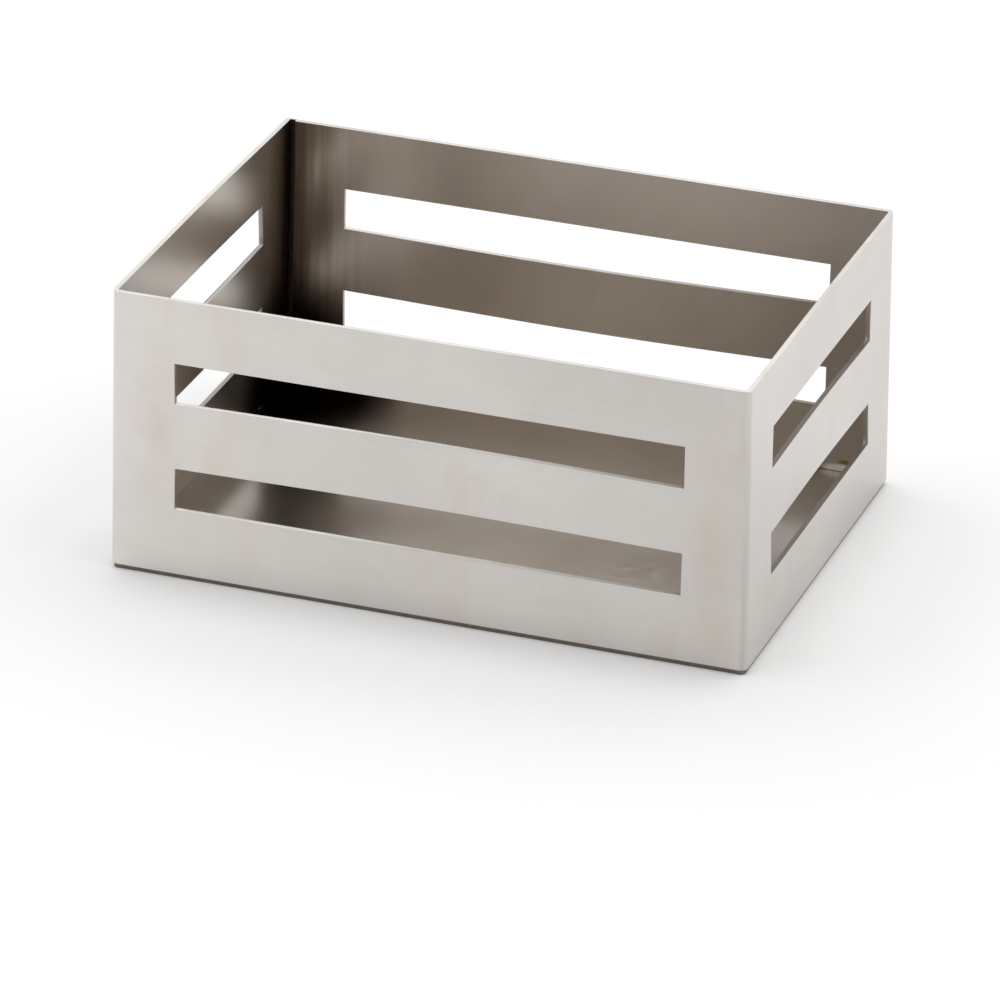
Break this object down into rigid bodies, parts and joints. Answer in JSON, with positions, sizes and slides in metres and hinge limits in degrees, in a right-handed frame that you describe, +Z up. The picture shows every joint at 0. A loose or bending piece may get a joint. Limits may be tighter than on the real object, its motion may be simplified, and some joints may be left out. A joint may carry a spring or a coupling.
{
  "type": "sugar packet holder",
  "caption": "Open-top rectangular table crate of brushed sheet steel, with long horizontal slots in every wall, that holds sugar packets standing on edge.",
  "frame": {"origin": "middle of the underside of the base plate, on the surface that the holder stands on", "axes": "+X along the long walls to the right as seen from the front, +Y from the front wall to the back wall, +Z up out of the open top"},
  "size_m": [0.092, 0.0666, 0.0417],
  "materials": {
    "brushed_walls": "brushed along the length of each wall, satin",
    "base_sheet": "mill finish, smoother and more reflective than the walls",
    "seam_weld": "dark oxidised weld root, ground flush outside",
    "tack_weld": "straw-tinted weld bead"
  },
  "bodies": {
    "root": {"wall_band": "brushed_walls", "base_plate": "base_sheet", "corner_seam_weld": "seam_weld", "base_tack_welds": "tack_weld"}
  },
  "joints": []
}
